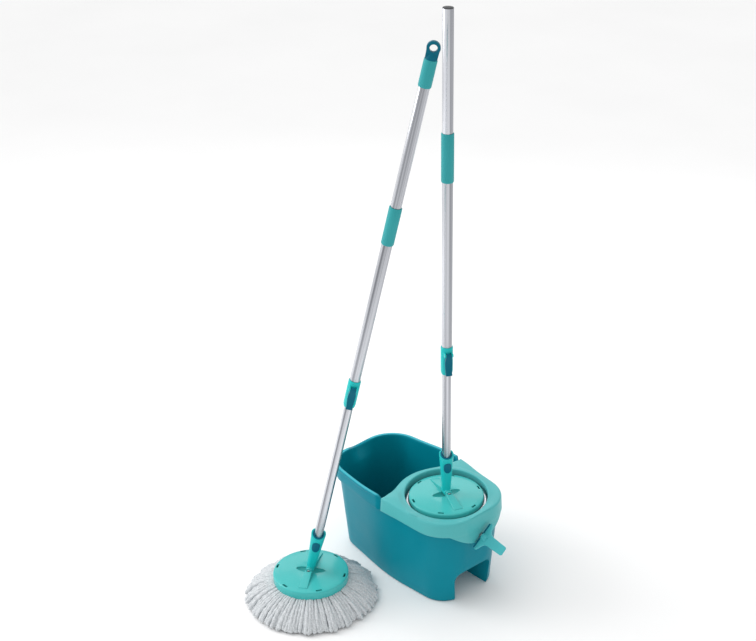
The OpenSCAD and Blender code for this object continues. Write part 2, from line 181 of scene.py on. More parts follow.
class Finish:
    # a material with the nodes that every finish here uses

    def __init__(self, name):
        self.mat = bpy.data.materials.new(name)
        self.mat.use_nodes = True
        self.tree = self.mat.node_tree
        self.shader = self.tree.nodes["Principled BSDF"]
        self.coords = self.tree.nodes.new("ShaderNodeTexCoord")

    def put(self, socket, value):
        self.shader.inputs[socket].default_value = value

    def link(self, a, b):
        self.tree.links.new(a, b)

    def noise(self, scale, detail=3, stretch=(1, 1, 1), turn=(0, 0, 0)):
        # turn lays the noise's Z along a leaning part before it is stretched
        turned = self.tree.nodes.new("ShaderNodeMapping")
        turned.inputs["Rotation"].default_value = turn
        mapping = self.tree.nodes.new("ShaderNodeMapping")
        mapping.inputs["Scale"].default_value = stretch
        self.link(self.coords.outputs["Object"], turned.inputs["Vector"])
        self.link(turned.outputs["Vector"], mapping.inputs["Vector"])
        node = self.tree.nodes.new("ShaderNodeTexNoise")
        node.inputs["Scale"].default_value = scale
        node.inputs["Detail"].default_value = detail
        self.link(mapping.outputs["Vector"], node.inputs["Vector"])
        return node.outputs["Fac"]

    def spread(self, source, low, high):
        node = self.tree.nodes.new("ShaderNodeMapRange")
        node.inputs["From Min"].default_value = noiseMiddle[0]
        node.inputs["From Max"].default_value = noiseMiddle[1]
        node.inputs["To Min"].default_value = low
        node.inputs["To Max"].default_value = high
        self.link(source, node.inputs["Value"])
        return node.outputs["Result"]

    def colour(self, source, low, high):
        ramp = self.tree.nodes.new("ShaderNodeValToRGB")
        ramp.color_ramp.elements[0].position = noiseMiddle[0]
        ramp.color_ramp.elements[1].position = noiseMiddle[1]
        ramp.color_ramp.elements[0].color = low
        ramp.color_ramp.elements[1].color = high
        self.link(source, ramp.inputs["Fac"])
        self.link(ramp.outputs["Color"], self.shader.inputs["Base Color"])

    def bump(self, source, height, strength):
        node = self.tree.nodes.new("ShaderNodeBump")
        node.inputs["Strength"].default_value = strength
        node.inputs["Distance"].default_value = height
        self.link(source, node.inputs["Height"])
        if self.shader.inputs["Normal"].is_linked:
            self.link(self.shader.inputs["Normal"].links[0].from_socket, node.inputs["Normal"])
        self.link(node.outputs["Normal"], self.shader.inputs["Normal"])


def moulded(name, rgb, rough, grain=0.00002, gloss=0.25, coat=0.0):
    # injection-moulded plastic: faint drift in colour and gloss, fine spark-eroded grain
    f = Finish(name)
    drift = 4
    f.colour(f.noise(6, 2), shifted(rgb, -drift), shifted(rgb, drift))
    f.link(f.spread(f.noise(25, 3), rough - 0.03, rough + 0.04), f.shader.inputs["Roughness"])
    f.bump(f.noise(700, 2), grain, 0.25)
    f.bump(f.noise(5, 1), 0.0004, 0.12)
    f.put("Coat Weight", coat)
    f.put("Coat Roughness", 0.08)
    f.put("Specular IOR Level", gloss)
    return f.mat


def drawnMetal(name, rgb, rough, stretch, scale=220, contrast=9, turn=(0, 0, 0)):
    # drawn or turned metal: streaks along one way
    f = Finish(name)
    streaks = f.noise(scale, 3, stretch, turn=turn)
    f.colour(streaks, shifted(rgb, -contrast), shifted(rgb, contrast))
    fine = f.noise(scale * 2, 4, stretch, turn=turn)
    f.link(f.spread(fine, rough - 0.06, rough + 0.08), f.shader.inputs["Roughness"])
    f.bump(f.noise(scale * 3, 2, stretch, turn=turn), 0.00002, 0.4)
    f.put("Metallic", 1.0)
    return f.mat


def yarnFinish(name, rgb):
    # loose yarn: soft and fuzzy, mottled a little darker
    f = Finish(name)
    f.colour(f.noise(330, 4), shifted(rgb, -26), shifted(rgb, 6))
    f.bump(f.noise(1100, 4), 0.0004, 0.6)
    f.bump(f.noise(420, 3), 0.0012, 0.7)
    f.put("Roughness", 0.95)
    f.put("Sheen Weight", 0.2)
    f.put("Sheen Roughness", 0.5)
    f.put("Specular IOR Level", 0.1)
    return f.mat


def withPaintedLipHighlight(mat, rgb, fromZ):
    # painted highlight: upward faces above fromZ take on the paler rgb, standing in for the light that a lip
    # catches
    tree = mat.node_tree
    shader = tree.nodes["Principled BSDF"]
    parts = {}
    for key, kind in (("face", "ShaderNodeNewGeometry"), ("up", "ShaderNodeSeparateXYZ"),
                      ("place", "ShaderNodeTexCoord"), ("height", "ShaderNodeSeparateXYZ"),
                      ("upShare", "ShaderNodeMapRange"), ("highShare", "ShaderNodeMapRange"),
                      ("both", "ShaderNodeMath"), ("mix", "ShaderNodeMix")):
        parts[key] = tree.nodes.new(kind)
    for key, low, high in (("upShare", 0.9, 0.99), ("highShare", fromZ, fromZ + 0.001)):
        parts[key].inputs["From Min"].default_value = low
        parts[key].inputs["From Max"].default_value = high
    parts["both"].operation = "MULTIPLY"
    mix = parts["mix"]
    mix.data_type = "RGBA"
    mix.inputs[7].default_value = linear(*rgb)
    base = shader.inputs["Base Color"].links[0].from_socket
    for a, b in ((parts["face"].outputs["Normal"], parts["up"].inputs[0]),
                 (parts["up"].outputs["Z"], parts["upShare"].inputs["Value"]),
                 (parts["place"].outputs["Object"], parts["height"].inputs[0]),
                 (parts["height"].outputs["Z"], parts["highShare"].inputs["Value"]),
                 (parts["upShare"].outputs["Result"], parts["both"].inputs[0]),
                 (parts["highShare"].outputs["Result"], parts["both"].inputs[1]),
                 (parts["both"].outputs[0], mix.inputs[0]),
                 (base, mix.inputs[6]), (mix.outputs[2], shader.inputs["Base Color"])):
        tree.links.new(a, b)
    return mat


# strong streaks along the tubes: real drawn streaks, and painted reflection bands, light and dark strips standing
# in for what a round tube reflects
tubeStreaksAndReflections = {"rgb": (184, 186, 192), "rough": 0.26, "stretch": (1, 1, 0.004), "scale": 135, "contrast": 52}
finishes = {
    # painted highlight on the tub's lip: a paler colour on its upward faces near the rim
    "tub_plastic": withPaintedLipHighlight(moulded("tubPlastic", (0, 132, 150), 0.36, gloss=0.1),
                               (62, 176, 190), 0.2225),
    "insert_plastic": moulded("insertPlastic", (80, 180, 182), 0.38, gloss=0.35),
    "head_plastic": moulded("headPlastic", (66, 184, 182), 0.22, coat=0.15),
    "lever_plastic": moulded("leverPlastic", (72, 182, 188), 0.4),
    "socket_plastic": moulded("socketPlastic", (24, 188, 188), 0.32),
    "dark_plastic": moulded("darkPlastic", (0, 100, 122), 0.34, gloss=0.12),
    "grip_plastic": moulded("gripPlastic", (52, 158, 162), 0.5, grain=0.00006, gloss=0.18),
    "white_plastic": moulded("padPaintedShade", (4, 34, 40), 0.5),   # painted shade: dark here, whatever the slot's name, standing in for the shade seen through the discs' slots
    "plug_plastic": moulded("plugPlastic", (60, 62, 65), 0.45),
    "steel": drawnMetal("turnedSteel", (150, 153, 157), 0.3, (1, 1, 12)),
    "basket_steel": drawnMetal("basketSteel", (180, 183, 188), 0.2, (1, 1, 8)),
    "chrome": drawnMetal("chromePin", (215, 217, 221), 0.08, (8, 1, 1)),
    "tube_aluminium": drawnMetal("anodisedTube", **tubeStreaksAndReflections),
    "yarn": yarnFinish("looseYarn", (212, 216, 219)),
}
leanAxis = Vector(joints["mop_b_telescope"]["axis"])
leanTurn = leanAxis.to_track_quat("Z", "Y").inverted().to_euler()
# the leaning tube carries the same drawn streaks and painted reflection bands, laid along its lean
leaningTube = drawnMetal("anodisedTubeLeaning", **tubeStreaksAndReflections, turn=leanTurn)


def dress(obj, slot, body, *nodes):
    # material, slot, body and the CAD nodes that the piece stands for
    obj.data.materials.clear()
    leaning = slot == "tube_aluminium" and "mop_b" in body
    obj.data.materials.append(leaningTube if leaning else finishes[slot])
    if nodes:
        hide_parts(*nodes)
    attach(obj, body)
    return obj


print("finishes made:", len(finishes))


# bucket

tubShape = {
    "base": [(118, 32, 60), (21, 54, 44), (-143, 26, 52)],   # corner discs of the plan on the +Y side, mm
    "rim": [(122, 30, 78), (-12, 47, 73), (-134, 37, 70)],
    "bow": 480,           # radius of the soft bow in the long sides
    "height": 226,
    "bandFoot": 195,      # lower edge of the band and of the insert's skirt
    "wall": 3,
    "wingEnd": 9.0,       # where the band ends, under the edge of the insert
    "blend": 0.8,         # the width over which the band ends
    "spoutEnd": -120,     # the spout is on this side of x
    "spoutHalf": 42,
    "spoutOut": 16,
    "spoutDip": 15,
    "spoutFoot": 178,     # height at which the spout begins to swell
    "rimRise": 4,         # the rim climbs this much from the spout to the insert
    "riseFrom": -130,
    "riseLength": 140,
}


def cornerDiscs(t):
    pairs = zip(tubShape["base"], tubShape["rim"])
    right, side, left = [tuple(a + (b - a) * t for a, b in zip(p, q)) for p, q in pairs]
    side = (side[0], side[1] + side[2] - tubShape["bow"], tubShape["bow"])
    mirrored = [(x, -y, radius) for x, y, radius in (right, left, side)]
    return [mirrored[0], right, side, left, mirrored[1], mirrored[2]]


def tangentAngle(a, b):
    dx, dy = b[0] - a[0], b[1] - a[1]
    return math.atan2(dy, dx) - math.pi / 2 + math.asin((a[2] - b[2]) / math.hypot(dx, dy))


straightSteps = [8, 16, 26, 16, 26, 16]
arcSteps = 14


def tangentStraights(t):
    discs = cornerDiscs(t)
    n = len(discs)
    angles = [tangentAngle(discs[i], discs[(i + 1) % n]) for i in range(n)]
    turns = []
    for i in range(n):
        a0, a1 = angles[i - 1], angles[i]
        while a1 < a0:
            a1 += math.tau
        while a1 - a0 > math.pi:
            a1 -= math.tau
        turns.append((a0, a1))
    return discs, turns


def withBandEnd(shares, place):
    # moves the two nearest shares to where the band ends, x being place(share)
    for x in (tubShape["wingEnd"], tubShape["wingEnd"] + tubShape["blend"]):
        low, high = 0.0, 1.0
        if (place(low) - x) * (place(high) - x) < 0:
            for _ in range(40):
                mid = (low + high) / 2
                low, high = (mid, high) if (place(mid) - x) * (place(high) - x) < 0 else (low, mid)
            near = min(range(1, len(shares) - 1), key=lambda k: abs(shares[k] - low))
            shares[near] = low
    return sorted(shares)


def arcPoint(disc, turn, share, grow):
    a = turn[0] + (turn[1] - turn[0]) * share
    return disc[0] + (disc[2] + grow) * math.cos(a), disc[1] + (disc[2] + grow) * math.sin(a)


rimDiscs, rimTurns = tangentStraights(1)
arcShares, straightShares = [], []
for i in range(6):
    following = (i + 1) % 6
    start = arcPoint(rimDiscs[i], rimTurns[i], 1, 0)[0]
    end = arcPoint(rimDiscs[following], rimTurns[following], 0, 0)[0]
    arcShares.append(withBandEnd([k / arcSteps for k in range(arcSteps + 1)],
                                 lambda f: arcPoint(rimDiscs[i], rimTurns[i], f, 0)[0]))
    straightShares.append(withBandEnd([k / (straightSteps[i] + 1) for k in range(1, straightSteps[i] + 1)],
                                      lambda f: start + (end - start) * f))


def planRing(t, grow):
    # the tub's outline at share t of its height, moved out by grow, as a list of x, y in mm
    discs, turns = tangentStraights(t)
    out = []
    for i in range(6):
        out += [arcPoint(discs[i], turns[i], f, grow) for f in arcShares[i]]
        p, q = out[-1], arcPoint(discs[(i + 1) % 6], turns[(i + 1) % 6], 0, grow)
        out += [(p[0] + (q[0] - p[0]) * f, p[1] + (q[1] - p[1]) * f) for f in straightShares[i]]
    return out


bandPoint = [x < tubShape["wingEnd"] + tubShape["blend"] / 2 for x, y in planRing(1, 0)]


def eased(w):
    w = min(1.0, max(0.0, w))
    return w * w * (3 - 2 * w)


def spoutShare(y):
    return eased(1 - abs(y) / tubShape["spoutHalf"])


def tubRing(z, growBand, growPlain, zPlain=None):
    # one ring of the tub: the band's side and the plain side under the insert differ near the rim
    s = tubShape
    band, plain = planRing(z / s["height"], growBand), planRing((zPlain or z) / s["height"], growPlain)
    ring = []
    for onBand, b, p in zip(bandPoint, band, plain):
        x, y = b if onBand else p
        h = z if onBand or zPlain is None else zPlain
        if x < s["spoutEnd"]:
            up = min(1, max(0, (z - s["spoutFoot"]) / (s["height"] - s["spoutFoot"])))
            x -= s["spoutOut"] * spoutShare(y) * eased(up)
            h -= s["spoutDip"] * spoutShare(y) * up
        if onBand and z > s["bandFoot"]:
            climb = eased((x - s["riseFrom"]) / s["riseLength"])
            h += s["rimRise"] * min(1, (z - s["bandFoot"]) / 25) * climb
        ring.append(Vector((x * mm, y * mm, h * mm)))
    return ring


def buildTub():
    s = tubShape
    foot, rim, wall = s["bandFoot"], s["height"], s["wall"]
    rings = [tubRing(0, -7, -7), tubRing(0.5, -3.2, -3.2), tubRing(2.2, -0.9, -0.9), tubRing(6, 0, 0)]
    rings += [tubRing(z, 0, 0) for z in (30, 60, 90, 120, 150, 175, 188)]
    bandLow = [(-1.6, 0.4), (-1.1, 2), (-0.9, 7), (-0.3, 8.6), (1, 9), (10, 7.9)]
    rings += [tubRing(foot + up, grow, 0) for up, grow in bandLow]
    # height over the rim, growth of the band, growth and height of the plain side
    lip = [(-9, 6.2, 0, 212), (-5.2, 5.6, 0, 215), (-4.8, 6.6, 0, 217), (-3.4, 7.7, -0.1, 218.4),
           (-1.6, 7.7, -0.3, 219), (-0.3, 6.9, -0.7, 219.5), (0.4, 5.4, -1.2, 219.8), (0.5, 2.6, -1.8, 219.6),
           (0.4, -0.2, -2.4, 219.2), (0, -1.2, -2.9, 218.2), (-1.2, -1.9, -wall, 217), (-6, -2, -wall, 215)]
    rings += [tubRing(rim + up, band, plain, plainZ) for up, band, plain, plainZ in lip]
    rings += [tubRing(z, grow, -wall) for z, grow in ((205, -2), (190, -2.7), (178, -wall))]
    rings += [tubRing(z, -wall, -wall) for z in (150, 120, 90, 60, 30)]
    rings += [tubRing(z, -grow, -grow) for z, grow in ((12, 3.2), (7, 4.6), (4.2, 7.4), (wall, 12))]
    return ringLoft("bucketTub", rings, closeStart=True, closeEnd=True)


toeShape = {"half": 54, "footHalf": 49, "height": 74, "round": 20, "from": 55, "to": 215}
leverNotch = {"location": (0.199, 0, 0.206), "scale": (0.034, 0.013, 0.09)}


def archBlock(name, grow, fromX, toX):
    # the arch outline of the toe recess, extruded along X
    s = toeShape
    w, f, h, r = s["half"] + grow, s["footHalf"] + grow, s["height"] + grow, s["round"] + grow
    outline = [(f, -4 if grow == 0 else 1), (w, h - r)]
    outline += [(w - r + r * math.cos(a), h - r + r * math.sin(a)) for a in np.radians(np.arange(9, 91, 9))]
    outline += [(-y, z) for y, z in reversed(outline)]
    rings = [[Vector((x * mm, y * mm, z * mm)) for y, z in outline] for x in (fromX, toX)]
    return ringLoft(name, rings, closeStart=True, closeEnd=True)


tub = buildTub()
toeWalls = archBlock("toeWalls", tubShape["wall"], toeShape["from"] - tubShape["wall"], toeShape["to"])
tubInside = ringLoft("tubInside", [tubRing(z, -1.2, -1.2) for z in (0.6, 60, 110)], True, True)
cutWith(toeWalls, tubInside, "INTERSECT")
cutWith(tub, toeWalls, "UNION")
cutWith(tub, archBlock("toeSpace", 0, toeShape["from"], toeShape["to"]))
bpy.ops.mesh.primitive_cube_add(size=1, **leverNotch)
cutWith(tub, bpy.context.active_object)
tidyMesh(tub, 0.00001)
roundEdges(tub, 0.0007, 2, 50)
smooth(tub, 40)
dress(tub, "tub_plastic", "tub", "bucket_tub")
print("tub built:", len(tub.data.polygons), "faces")


# insert

insertShape = {
    "ringR": 94, "ringFoot": 205, "deck": 226, "lipOut": 116, "wing": -82,
    "edgeLow": 219.5, "edgeRise": 13.5,
    "highAt": 145,        # the ring's edge is highest in this direction, in degrees
    "rimOut": 5, "skirtFoot": 195, "thick": 3,
    "apronFoot": 155, "apronHalf": 80,
    "wingRise": 4,
    "cornerSag": 3, "cornerAt": -48, "cornerWide": 34,   # the two last in degrees
    "skirtSag": 5,
}


def outlineRadius(points, angle):
    # distance from the basket's axis to an outline, along one direction
    ax = basketAxis.x / mm
    d = np.array([math.cos(angle), math.sin(angle)])
    p = np.array(points) - (ax, 0)
    q = np.roll(p, -1, axis=0)
    e = q - p
    den = d[0] * e[:, 1] - d[1] * e[:, 0]
    den[np.abs(den) < 1e-9] = 1e-9
    r = (p[:, 0] * e[:, 1] - p[:, 1] * e[:, 0]) / den
    s = (p[:, 0] * d[1] - p[:, 1] * d[0]) / den
    ok = (r > 0) & (s >= -1e-6) & (s <= 1 + 1e-6)
    return r[ok].max()


def insertAngles():
    s = insertShape
    rim = planRing(1, s["rimOut"])
    wingY = max(y for x, y in rim if abs(x - basketAxis.x / mm - s["wing"]) < 12)
    corner = math.atan2(wingY, s["wing"])
    arc = math.acos(s["wing"] / s["lipOut"])
    skirtCount = 200      # directions that meet the skirt
    parts = [np.linspace(-corner, corner, skirtCount), np.linspace(corner, arc, 12)[1:],
             np.linspace(arc, math.tau - arc, 56)[1:],
             np.linspace(math.tau - arc, math.tau - corner, 12)[1:-1]]
    return np.concatenate(parts), skirtCount, rim


def buildInsert():
    s = insertShape
    angles, skirtCount, rimLine = insertAngles()
    n = len(angles)
    hullR = np.array([outlineRadius(rimLine, a) for a in angles])
    wingR = np.array([abs(s["wing"] / math.cos(a)) if math.cos(a) < -0.01 else 999 for a in angles])
    outer = np.maximum(s["lipOut"], np.minimum(hullR, wingR))
    outer[:skirtCount] = hullR[:skirtCount]
    for _ in range(60):   # eases the wing into the round of the ring
        soft = (np.roll(outer, 1) + np.roll(outer, -1)) / 2
        outer[skirtCount + 2:n - 2] = soft[skirtCount + 2:n - 2]
    high = (1 + np.cos(angles - math.radians(s["highAt"]))) / 2
    edge = s["edgeLow"] + s["edgeRise"] * high
    ax = basketAxis.x / mm
    wing = np.array([eased((-math.cos(a) - 0.05) / 0.5) * eased((abs(math.sin(a)) - 0.55) / 0.25)
                     for a in angles])
    fromCorner = [(math.degrees(a) - s["cornerAt"]) / s["cornerWide"] for a in angles]
    corner = np.array([math.exp(-c ** 2) for c in fromCorner])
    level = s["deck"] + s["wingRise"] * wing - s["cornerSag"] * corner

    def ring(radius, height):
        return [Vector(((ax + r * math.cos(a)) * mm, r * math.sin(a) * mm, z * mm))
                for a, r, z in zip(angles, radius, height)]

    ones = np.ones(n)
    rings = [ring(s["ringR"] * ones, s["ringFoot"] * ones), ring(s["ringR"] * ones, edge - 5),
             ring(s["ringR"] * ones, edge - 1.8), ring((s["ringR"] + 0.5) * ones, edge - 0.6),
             ring((s["ringR"] + 1.8) * ones, edge)]
    start = s["ringR"] + 3.5
    span = np.minimum(112, outer - 4) - start
    for k in range(9):
        f = k / 8
        rings.append(ring(start + span * f, level + (edge - level) * (1 - eased(f))))
    rings += [ring(outer - 4.6, level), ring(outer - 2.9, level - 0.4), ring(outer - 1.4, level - 1.3),
              ring(outer - 0.4, level - 2.8), ring(outer, level - 4.5)]
    deck = ringLoft("spinInsert", rings)

    # skirt and apron: the outer edge from wing to wing is extruded down, row by row
    rows = []
    sag = [s["skirtSag"] * eased((math.cos(a) + 0.5) / 0.9) for a in angles[:skirtCount]]
    skirt = [(218, 6, 0.1), (210, 7.1, 0.4), (202, 8.2, 0.7), (197, 8.9, 0.95), (195.6, 8.7, 1)]
    for z, grow, share in skirt:      # height, growth from the tub's outline, share of the sag
        line = planRing(z / tubShape["height"], grow)
        rows.append([(outlineRadius(line, a), z - d * share) for a, d in zip(angles, sag)])
    edgeY = np.array([r * math.sin(a) for (r, z), a in zip(rows[-1], angles)])
    foot = s["skirtFoot"] - np.array(sag)
    drop = np.where((np.abs(edgeY) < s["apronHalf"]) & (np.cos(angles[:skirtCount]) > 0),
                    (foot - s["apronFoot"]) * np.cos(np.clip(edgeY / s["apronHalf"], -1, 1) * math.pi / 2), 0)
    hang = [outlineRadius(planRing(s["skirtFoot"] / tubShape["height"], 8), a) for a in angles[:skirtCount]]
    for k in range(1, 9):
        rows.append([(r, f - d * k / 8 - 0.05 * k) for r, f, d in zip(hang, foot, drop)])
    startEdit(deck, "DESELECT")
    bm = bmesh.from_edit_mesh(deck.data)
    place = bm.verts.layers.int["place"]
    for e in bm.edges:
        a, b = e.verts
        outside = all((v.co.x - basketAxis.x) ** 2 + v.co.y ** 2 > 0.1 ** 2 for v in (a, b))
        if outside and a[place] < skirtCount and b[place] < skirtCount and e.is_boundary:
            e.select = True
    bm.select_flush_mode()
    bpy.ops.mesh.select_mode(type="EDGE")
    bmesh.update_edit_mesh(deck.data)
    for row in rows:
        bpy.ops.mesh.extrude_edges_move()
        bm = bmesh.from_edit_mesh(deck.data)
        place = bm.verts.layers.int["place"]
        for v in bm.verts:
            if v.select:
                r, z = row[v[place]]
                a = angles[v[place]]
                v.co = ((ax + r * math.cos(a)) * mm, r * math.sin(a) * mm, z * mm)
        bmesh.update_edit_mesh(deck.data)
    bpy.ops.mesh.select_mode(type="VERT")
    endEdit()
    startEdit(deck)
    bpy.ops.mesh.normals_make_consistent(inside=False)
    endEdit()
    middle = [f for f in deck.data.polygons if abs(f.center.z - s["deck"] * mm) < 0.0005]
    if sum(f.normal.z for f in middle) < 0:
        startEdit(deck)
        bpy.ops.mesh.flip_normals()
        endEdit()
    applyModifier(deck, "SOLIDIFY", thickness=s["thick"] * mm, offset=-1, use_even_offset=False)
    roundEdges(deck, 0.0006, 2, 55)
    smooth(deck, 45)
    return dress(deck, "insert_plastic", "insert", "spin_insert")


insert = buildInsert()
print("insert built:", len(insert.data.polygons), "faces")


# mop heads: x along the hinge pin, z = 0 at the disc's rim

headShape = {
    "discR": 85, "skirt": 20, "pinHeight": 9, "footR": 9.2, "earIn": 11, "earOut": 17, "pinR": 2.5,
    "earRound": 4.8,      # plastic around the pin
    "earFootHalf": 7.3,
    "ridgeHalf": 9.5, "ridgeEnd": 70, "ridgeTop": 12,
    "ridgeTip": 2.2,      # height of the ridge's far end
    "slotR": 78.5, "slotHalf": 7, "slotAcross": 2.4, "slotTurn": 28,
    "hollow": (11, 34, 9),
    "pocketHalf": 2.1,    # the room at each pin end, seen from above
    "nickHalf": 0.7, "nickTall": 3.4,
}
pinAxes = {n: Vector(joints["mop_" + n + "_tilt"]["axis"]).normalized() for n in "ab"}
pinCentres = {n: Vector(joints["mop_" + n + "_tilt"]["pos_m"]) for n in "ab"}


def headFrame(n):
    x = pinAxes[n]
    at = pinCentres[n] - Vector((0, 0, headShape["pinHeight"] * mm))
    return Matrix.Translation(at) @ Matrix.Rotation(math.atan2(x.y, x.x), 4, "Z")


def slab(name, low, high, bevel=0.0, segments=3):
    # a box between two corners in mm, its edges rounded
    a, b = Vector(low) * mm, Vector(high) * mm
    bpy.ops.mesh.primitive_cube_add(size=1, location=(a + b) / 2, scale=b - a)
    obj = bpy.context.active_object
    obj.name = name
    bpy.ops.object.transform_apply(location=True, rotation=True, scale=True)
    if bevel:
        roundEdges(obj, bevel * mm, segments, 30)
    return obj


def rod(name, radius, length, at, axis="X", vertices=48):
    turn = {"X": (0, math.pi / 2, 0), "Y": (math.pi / 2, 0, 0), "Z": (0, 0, 0)}[axis]
    bpy.ops.mesh.primitive_cylinder_add(vertices=vertices, radius=radius * mm, depth=length * mm,
                                        location=Vector(at) * mm, rotation=turn)
    obj = bpy.context.active_object
    obj.name = name
    bpy.ops.object.transform_apply(location=True, rotation=True, scale=True)
    return obj


def headRidge(side):
    # sloping ridge from the ear of the hinge down to the disc, its far end rounded
    s = headShape
    ridge = slab("ridge", (s["earOut"], -s["ridgeHalf"], -1), (s["ridgeEnd"], s["ridgeHalf"], s["ridgeTop"]))
    startEdit(ridge, "DESELECT")
    bm = bmesh.from_edit_mesh(ridge.data)
    for v in bm.verts:
        farEnd = v.co.x > 0.05
        v.co.z -= (s["ridgeTop"] - s["ridgeTip"]) * mm if farEnd and v.co.z > 0.001 else 0
        v.co.y *= 1.12 if farEnd else 0.82
    bmesh.update_edit_mesh(ridge.data)
    endEdit()
    roundEdges(ridge, 3.4 * mm, 5, 30)
    ear = rod("ear", s["pinR"] + s["earRound"], s["earOut"] - s["earIn"],
              ((s["earIn"] + s["earOut"]) / 2, 0, s["pinHeight"]))
    foot = slab("earFoot", (s["earIn"], -s["earFootHalf"], -1),
                (s["earOut"], s["earFootHalf"], s["pinHeight"]), 0.8)
    cutWith(ridge, ear, "UNION")
    cutWith(ridge, foot, "UNION")
    return placed(ridge, Matrix.Rotation(0 if side > 0 else math.pi, 4, "Z"))


def buildHead(n):
    s = headShape
    r, k = s["discR"], s["skirt"]
    line = [(0, 2), (20, 2.1), (30, 3), (45, 2.5), (60, 1.7), (72, 0.9), (r - 3.2, 0.2), (r - 1.6, -0.4),
            (r - 0.5, -1.5), (r, -3.2), (r + 0.2, -k + 1.5), (r - 0.2, -k + 0.5), (r - 1, -k), (r - 2.4, -k),
            (r - 3, -k + 0.6), (r - 3, -6), (r - 5, -4.2), (60, -3), (48, -8.5), (0, -8.5)]
    disc = lathe("mopDisc-" + n, [(x * mm, z * mm) for x, z in line], 120)
    for side in (1, -1):
        cutWith(disc, headRidge(side), "UNION")
    # the hollow that the socket's foot swings through
    cutWith(disc, rod("footRoom", s["footR"], 2 * s["earIn"], (0, 0, s["pinHeight"]), "X", 64))
    bpy.ops.mesh.primitive_uv_sphere_add(segments=64, ring_count=32, radius=mm, location=(0, 0, 1.8 * mm),
                                         scale=s["hollow"])
    bpy.ops.object.transform_apply(location=True, rotation=True, scale=True)
    cutWith(disc, bpy.context.active_object)
    for side in (1, -1):
        half = s["pocketHalf"]
        middle = side * (s["earOut"] + half)
        cutWith(disc, rod("pinPocket", s["pinR"] + 1.8, 2 * half + 0.2, (middle, 0, s["pinHeight"])))
        cutWith(disc, slab("pinView", (middle - half, -4.2, s["pinHeight"]),
                           (middle + half, 4.2, s["pinHeight"] + 14)))
    cutWith(disc, rod("pinBore", s["pinR"] + 0.05, 2 * s["earOut"] + 3, (0, 0, s["pinHeight"])))
    for a in range(s["slotTurn"], 360, 60):
        slot = slab("slot", (s["slotR"] - s["slotAcross"], -s["slotHalf"], -9),
                    (s["slotR"] + s["slotAcross"], s["slotHalf"], 8), 1.2, 2)
        cutWith(disc, placed(slot, Matrix.Rotation(math.radians(a), 4, "Z")))
    for a in range(3, 360, 20):
        nick = slab("nick", (r - 5, -s["nickHalf"], -k - 2), (r + 4, s["nickHalf"], -k + s["nickTall"]))
        cutWith(disc, placed(nick, Matrix.Rotation(math.radians(a), 4, "Z")))
    tidyMesh(disc, 0.00001)
    smooth(disc, 32)
    placed(disc, headFrame(n))
    return dress(disc, "head_plastic", "mop_" + n + "_head", "mop_" + n + "_disc")


for n in "ab":
    buildHead(n)
print("heads built")


# fringes: one twisted yarn, laid along many paths

yarnShape = {
    "plies": 3, "around": 9, "rings": 26, "turns": 5.5, "lobe": 0.16,
    "seed": 7,
    "spread": [(94, 0.0, 0.1475, 4.6), (88, -0.0065, 0.1485, 4.8), (64, -0.016, 0.143, 5.0)],
    # reach and height of a spread yarn in metres, from under the disc to the floor, and its thickness there
    "dome": [(0.070, 0.053), (0.088, 0.0485), (0.104, 0.042), (0.119, 0.0335), (0.132, 0.0235),
             (0.141, 0.014), (0.1475, 0.006)],
    "taper": [0.55, 0.7, 0.85, 0.95, 1, 1, 1.04],
    "hang": [(76, 0.0785, 3.6), (60, 0.070, 4.2)],
    "hangTall": 0.072,
}
dice = random.Random(yarnShape["seed"])


def straightYarn():
    # unit length along Z, unit radius, its plies wound around each other
    s = yarnShape
    rings = []
    for k in range(s["rings"] + 1):
        t = k / s["rings"]
        turn = t * s["turns"] * math.tau / s["plies"]
        tip = math.sqrt(max(0.05, 1 - max(0, (t - 0.955) / 0.045) ** 2))
        ring = []
        for i in range(s["around"]):
            a = math.tau * i / s["around"]
            r = tip * (1 + s["lobe"] * math.cos(s["plies"] * (a - turn)))
            ring.append(Vector((r * math.cos(a), r * math.sin(a), t)))
        rings.append(ring)
    return ringLoft("yarnPattern", rings, closeStart=True, closeEnd=True)


pattern = straightYarn()
unit = np.empty(len(pattern.data.vertices) * 3)
pattern.data.vertices.foreach_get("co", unit)
unit = unit.reshape(-1, 3)


def laidYarn(path, radii):
    # a copy of the pattern along a path of points, with the yarn's radius at each point
    path = np.array(path)
    steps = np.r_[0, np.cumsum(np.linalg.norm(np.diff(path, axis=0), axis=1))]
    t = unit[:, 2] * steps[-1]
    at = np.stack([np.interp(t, steps, path[:, i]) for i in range(3)], axis=1)
    ahead = np.stack([np.interp(np.minimum(t + 0.002, steps[-1]), steps, path[:, i]) -
                      np.interp(np.maximum(t - 0.002, 0), steps, path[:, i]) for i in range(3)], axis=1)
    ahead /= np.linalg.norm(ahead, axis=1)[:, None]
    side = np.cross(ahead, (0, 0, 1.0)) + 1e-6
    side /= np.linalg.norm(side, axis=1)[:, None]
    over = np.cross(side, ahead)
    r = np.interp(t, steps, radii)
    spin = dice.uniform(0, math.tau)
    x = unit[:, 0] * math.cos(spin) - unit[:, 1] * math.sin(spin)
    y = unit[:, 0] * math.sin(spin) + unit[:, 1] * math.cos(spin)
    mesh = pattern.data.copy()
    mesh.vertices.foreach_set("co", (at + side * (x * r)[:, None] + over * (y * r)[:, None]).ravel())
    obj = bpy.data.objects.new("yarn", mesh)
    bpy.context.scene.collection.objects.link(obj)
    return obj


